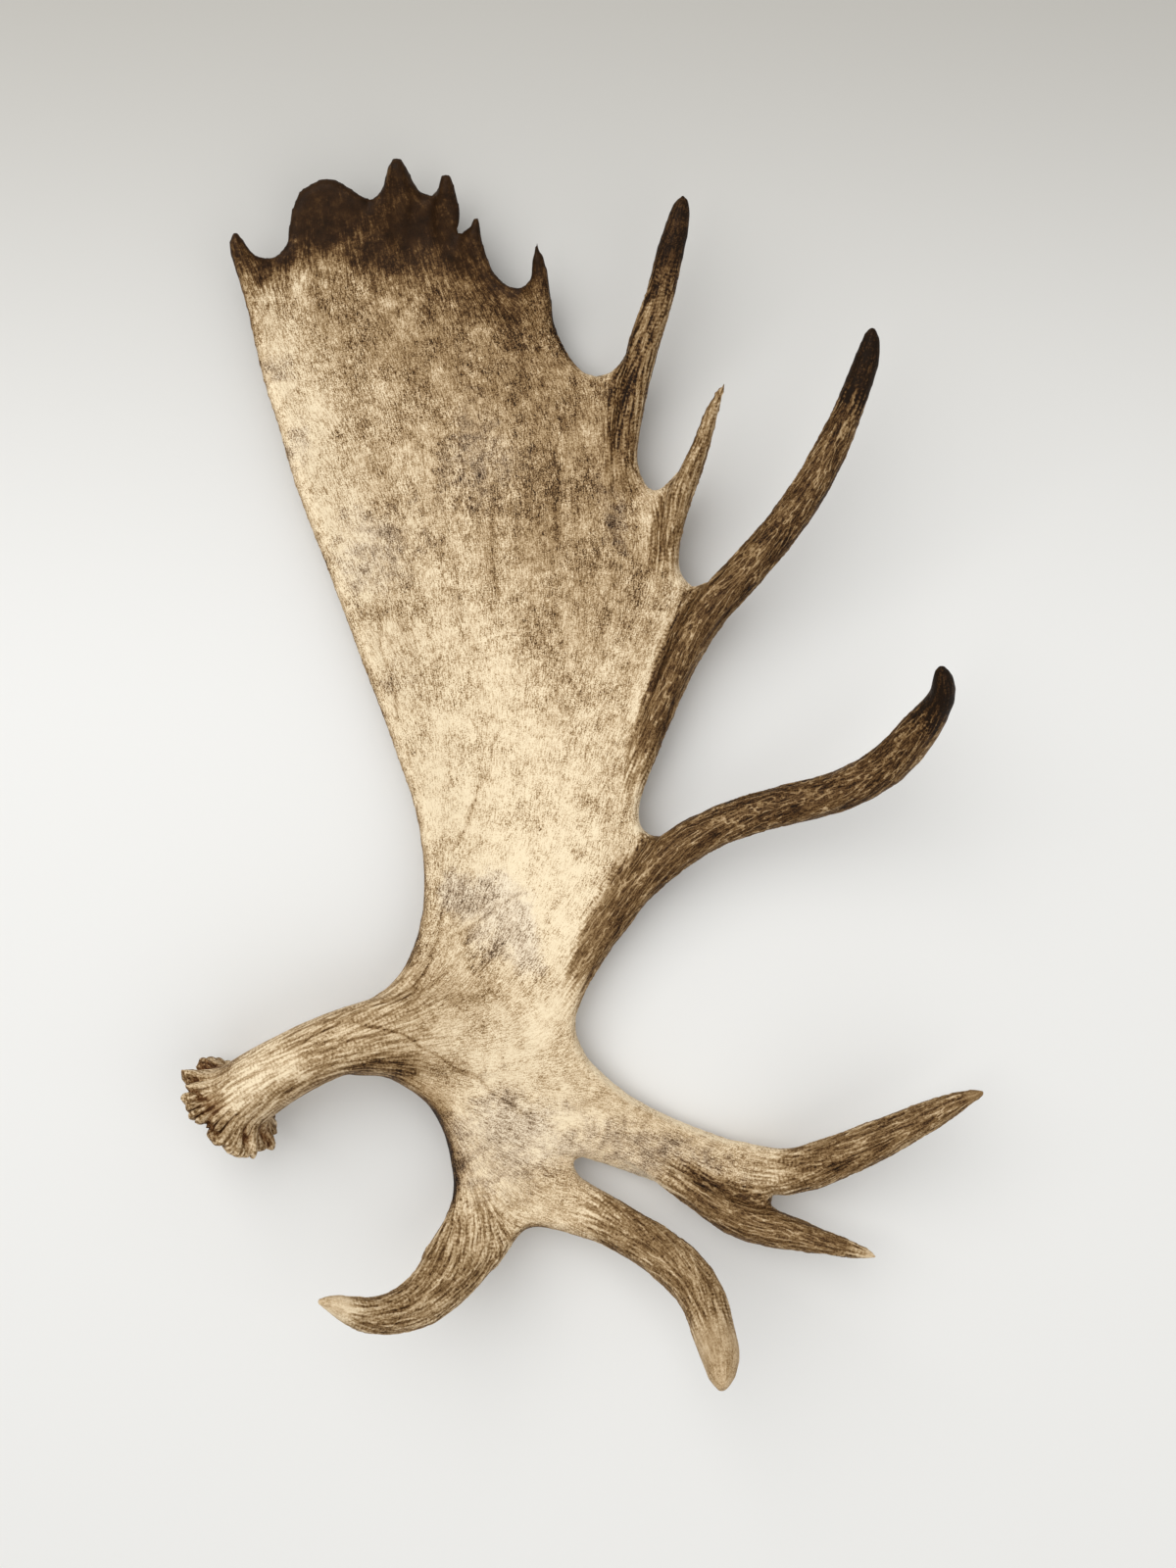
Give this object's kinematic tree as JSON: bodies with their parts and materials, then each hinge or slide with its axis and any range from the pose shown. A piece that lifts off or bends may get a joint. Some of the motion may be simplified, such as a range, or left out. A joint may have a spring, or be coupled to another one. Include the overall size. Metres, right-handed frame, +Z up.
{
  "type": "moose antler",
  "caption": "Shed moose antler lying hollow side up: knobbly burr, round beam, broad cupped palm with points and long curved tines, and a branched brow group.",
  "frame": {"origin": "middle of the bounding box's underside, on the surface that the antler lies on", "axes": "+Z up, the palm's hollow face up; +Y from the burr and brow tines towards the top of the palm; the burr is on the -X side and the long tines are on the +X side"},
  "size_m": [0.6378, 0.9508, 0.1709],
  "materials": {
    "antler_bone": "dry weathered bone, pale tan palm, brown grooved tines, matt with a slight sheen"
  },
  "bodies": {
    "root": {"beam_with_burr": "antler_bone", "main_palm": "antler_bone", "brow_palm": "antler_bone", "palm_tine_upper": "antler_bone", "palm_tine_slim": "antler_bone", "palm_tine_long": "antler_bone", "palm_tine_hooked": "antler_bone", "brow_tine_inner": "antler_bone", "brow_tine_middle": "antler_bone", "brow_tine_outer": "antler_bone", "brow_tine_lower": "antler_bone"}
  },
  "joints": []
}
